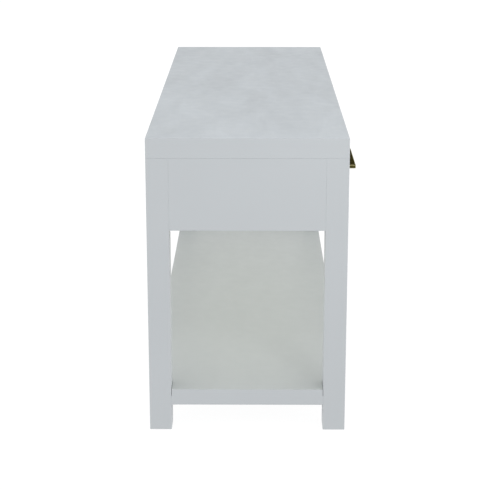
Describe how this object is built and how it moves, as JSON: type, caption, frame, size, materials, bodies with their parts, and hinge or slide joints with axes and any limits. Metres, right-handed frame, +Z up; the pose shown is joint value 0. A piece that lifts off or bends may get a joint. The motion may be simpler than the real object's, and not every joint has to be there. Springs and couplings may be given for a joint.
{
  "type": "console table",
  "caption": "Rectangular console table with square legs, a thick top, drawers with bar pulls on ball-bearing slides, and an open low shelf.",
  "frame": {"origin": "on the floor, in the middle of the bounding box, drawer pulls included", "axes": "+X runs along the table to the right as seen from the front, -Y is the front with the drawers, +Z is up"},
  "size_m": [1.5, 0.539, 0.768],
  "materials": {
    "lacquer": "satin",
    "board_sealer": "matte",
    "core_board": "matte",
    "case_ply": "satin",
    "birch_ply": "satin",
    "drawer_bottom": "satin",
    "dowel_beech": "matte",
    "antique_brass": "satin",
    "zinc_steel": "satin",
    "cage_steel": "satin",
    "screw_steel": "satin",
    "glide_plastic": "matte"
  },
  "bodies": {
    "carcass": {"top_panel": "lacquer", "top_edge_front": "lacquer", "top_edge_back": "lacquer", "top_edge_left": "lacquer", "top_edge_right": "lacquer", "top_battens": "core_board", "top_underpanel": "case_ply", "leg_front_left": "lacquer", "leg_front_right": "lacquer", "leg_back_left": "lacquer", "leg_back_right": "lacquer", "glides": "glide_plastic", "apron_left": "lacquer", "apron_right": "lacquer", "apron_back": "lacquer", "case_bottom": "board_sealer", "drawer_divider": "case_ply", "front_rail": "case_ply", "slide_packers": "case_ply", "shelf_panel": "lacquer", "shelf_edge_front": "lacquer", "shelf_edge_back": "lacquer", "shelf_end_left": "lacquer", "shelf_end_right": "lacquer", "shelf_battens": "core_board", "shelf_underpanel": "lacquer", "dowels": "dowel_beech", "top_brackets": "zinc_steel", "bracket_screws": "screw_steel", "cabinet_rails": "zinc_steel", "rail_screws": "screw_steel"},
    "left_drawer": {"left_drawer_front": "lacquer", "left_box_front": "birch_ply", "left_box_back": "birch_ply", "left_side_outer": "birch_ply", "left_side_inner": "birch_ply", "left_box_bottom": "drawer_bottom", "left_pull_bar": "antique_brass", "left_pull_posts": "antique_brass", "left_pull_screws": "screw_steel", "left_drawer_screws": "screw_steel", "left_drawer_members": "zinc_steel"},
    "left_slide_middles": {"left_slide_middles": "zinc_steel"},
    "left_outer_cages": {"left_outer_cages": "cage_steel"},
    "left_inner_cages": {"left_inner_cages": "cage_steel"},
    "right_drawer": {"right_drawer_front": "lacquer", "right_box_front": "birch_ply", "right_box_back": "birch_ply", "right_side_outer": "birch_ply", "right_side_inner": "birch_ply", "right_box_bottom": "drawer_bottom", "right_pull_bar": "antique_brass", "right_pull_posts": "antique_brass", "right_pull_screws": "screw_steel", "right_drawer_screws": "screw_steel", "right_drawer_members": "zinc_steel"},
    "right_slide_middles": {"right_slide_middles": "zinc_steel"},
    "right_outer_cages": {"right_outer_cages": "cage_steel"},
    "right_inner_cages": {"right_inner_cages": "cage_steel"}
  },
  "joints": [
    {"name": "left_drawer_slide", "type": "slide", "parent": "carcass", "child": "left_drawer", "axis": [0, -1, 0], "range_m": [0, 0.4]},
    {"name": "left_slide_middles_travel", "type": "slide", "parent": "carcass", "child": "left_slide_middles", "axis": [0, -1, 0], "range_m": [0, 0.2]},
    {"name": "left_outer_cages_travel", "type": "slide", "parent": "carcass", "child": "left_outer_cages", "axis": [0, -1, 0], "range_m": [0, 0.1]},
    {"name": "left_inner_cages_travel", "type": "slide", "parent": "carcass", "child": "left_inner_cages", "axis": [0, -1, 0], "range_m": [0, 0.3]},
    {"name": "right_drawer_slide", "type": "slide", "parent": "carcass", "child": "right_drawer", "axis": [0, -1, 0], "range_m": [0, 0.4]},
    {"name": "right_slide_middles_travel", "type": "slide", "parent": "carcass", "child": "right_slide_middles", "axis": [0, -1, 0], "range_m": [0, 0.2]},
    {"name": "right_outer_cages_travel", "type": "slide", "parent": "carcass", "child": "right_outer_cages", "axis": [0, -1, 0], "range_m": [0, 0.1]},
    {"name": "right_inner_cages_travel", "type": "slide", "parent": "carcass", "child": "right_inner_cages", "axis": [0, -1, 0], "range_m": [0, 0.3]}
  ],
  "couplings": [
    {"joint": "left_slide_middles_travel", "follows": "left_drawer_slide", "ratio": 0.5},
    {"joint": "left_outer_cages_travel", "follows": "left_drawer_slide", "ratio": 0.25},
    {"joint": "left_inner_cages_travel", "follows": "left_drawer_slide", "ratio": 0.75},
    {"joint": "right_slide_middles_travel", "follows": "right_drawer_slide", "ratio": 0.5},
    {"joint": "right_outer_cages_travel", "follows": "right_drawer_slide", "ratio": 0.25},
    {"joint": "right_inner_cages_travel", "follows": "right_drawer_slide", "ratio": 0.75}
  ]
}
